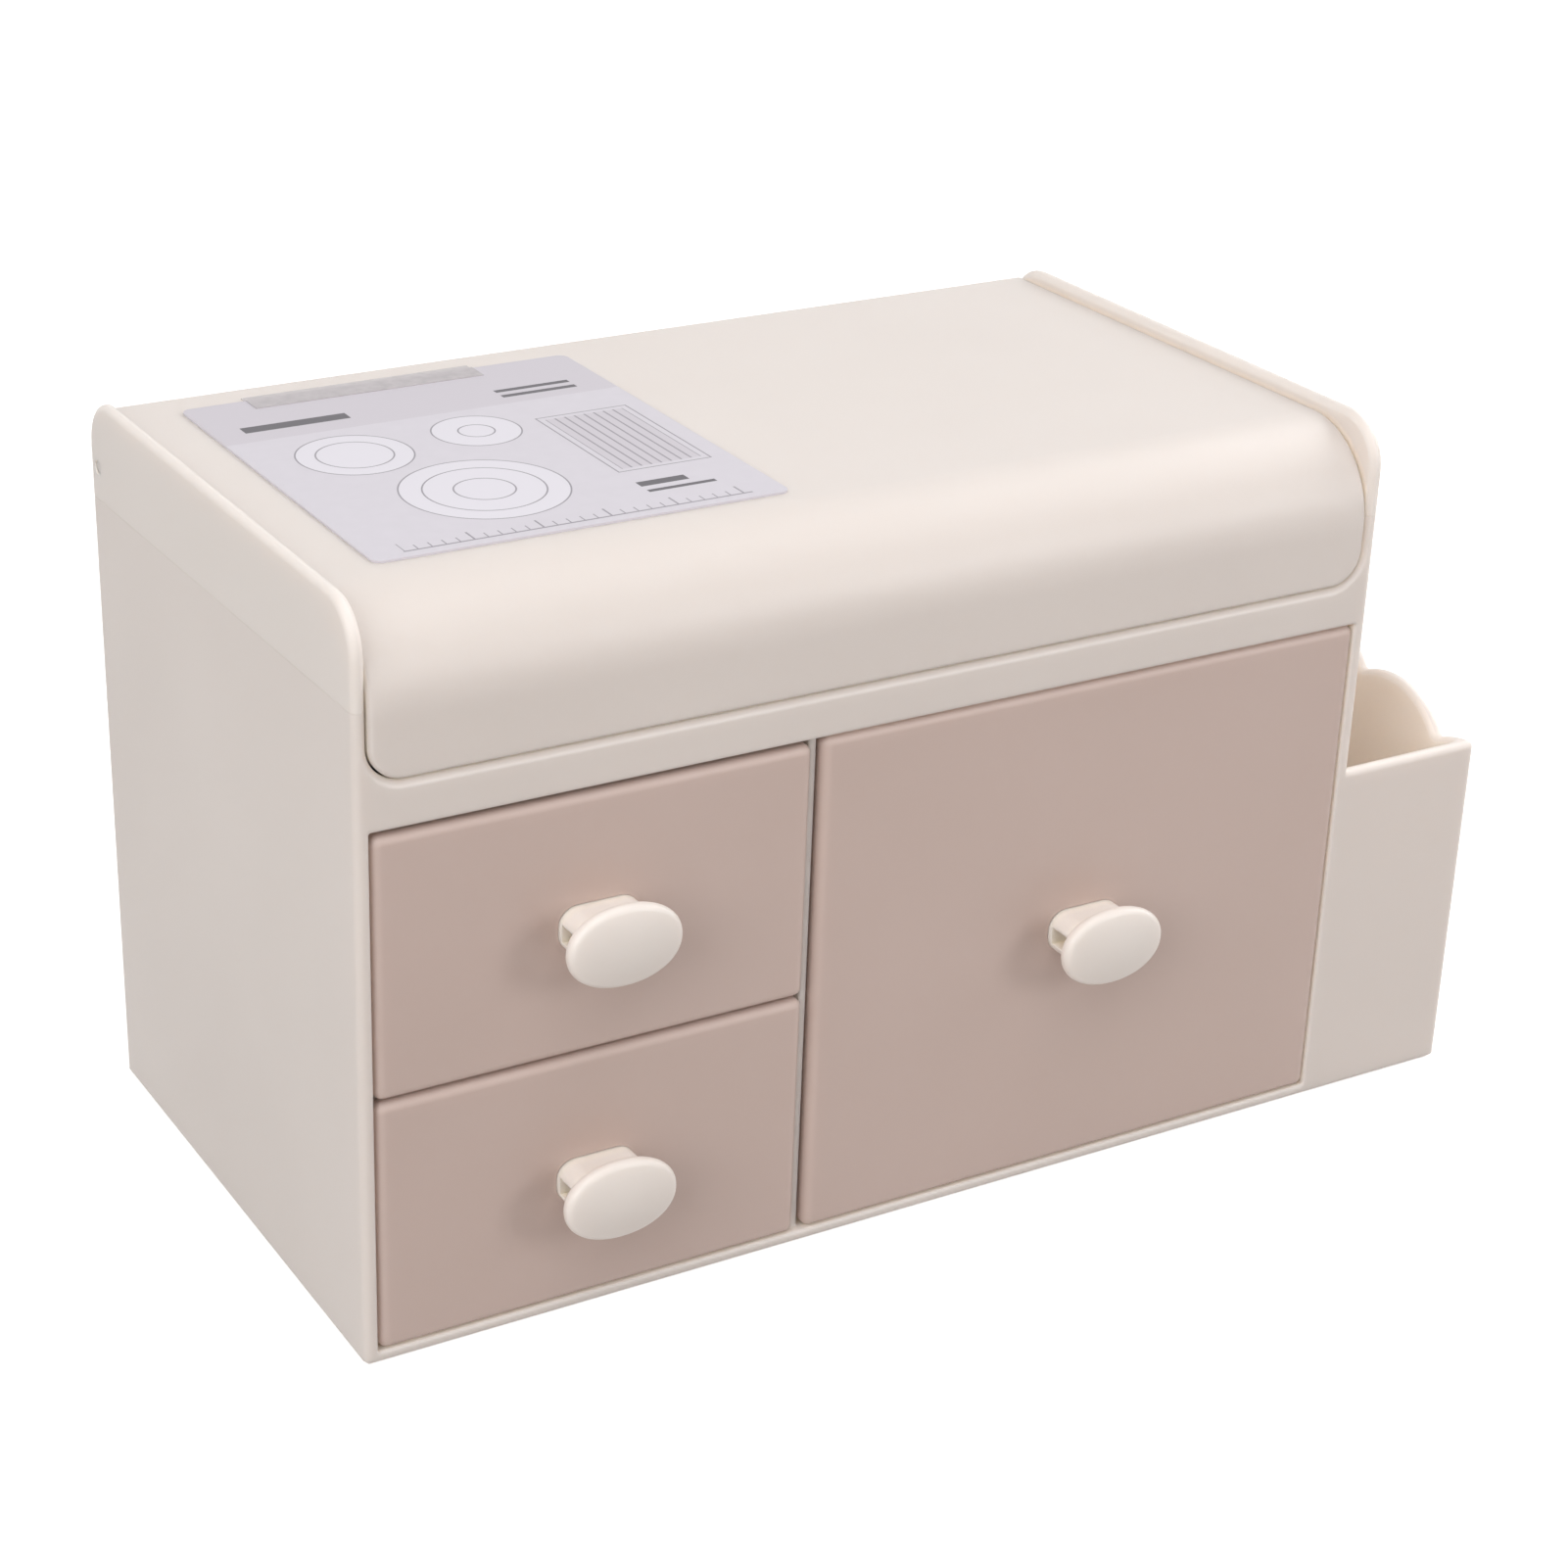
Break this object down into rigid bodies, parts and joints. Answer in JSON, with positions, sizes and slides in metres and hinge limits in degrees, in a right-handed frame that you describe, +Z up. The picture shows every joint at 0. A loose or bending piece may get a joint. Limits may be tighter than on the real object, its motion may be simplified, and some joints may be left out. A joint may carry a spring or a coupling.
{
  "type": "desktop drawer organizer",
  "caption": "Moulded desktop organizer with small and large knobbed drawers side by side, a hinged lid over a shallow tray, and an open side pocket with a scalloped edge.",
  "frame": {"origin": "middle of the footprint's bounding box, on the surface that the object stands on", "axes": "+X to the right seen from the drawers' side, towards the pocket; +Y to the rear; +Z up. The drawers open along -Y and the lid turns about the X direction at the rear."},
  "size_m": [0.186, 0.1008, 0.11],
  "materials": {
    "cream_plastic": "satin moulded cream plastic",
    "rose_plastic": "satin moulded dusty rose plastic",
    "knob_plastic": "satin moulded cream plastic",
    "printed_card": "coated printed card",
    "clear_tape": "clear adhesive tape"
  },
  "bodies": {
    "cabinet": {"cabinet": "cream_plastic"},
    "lid": {"lid": "cream_plastic", "lid_card": "printed_card", "tape_strip": "clear_tape"},
    "upper_small_drawer": {"upper_small_drawer": "rose_plastic", "upper_small_knob": "knob_plastic"},
    "lower_small_drawer": {"lower_small_drawer": "rose_plastic", "lower_small_knob": "knob_plastic"},
    "large_drawer": {"large_drawer": "rose_plastic", "large_knob": "knob_plastic"}
  },
  "joints": [
    {"name": "lid_hinge", "type": "hinge", "parent": "cabinet", "child": "lid", "pos_m": [-0.01235, 0.04752, 0.0996], "axis": [-1, 0, 0], "range_deg": [0, 105]},
    {"name": "upper_small_drawer_slide", "type": "slide", "parent": "cabinet", "child": "upper_small_drawer", "axis": [0, -1, 0], "range_m": [0, 0.07]},
    {"name": "lower_small_drawer_slide", "type": "slide", "parent": "cabinet", "child": "lower_small_drawer", "axis": [0, -1, 0], "range_m": [0, 0.07]},
    {"name": "large_drawer_slide", "type": "slide", "parent": "cabinet", "child": "large_drawer", "axis": [0, -1, 0], "range_m": [0, 0.07]}
  ]
}
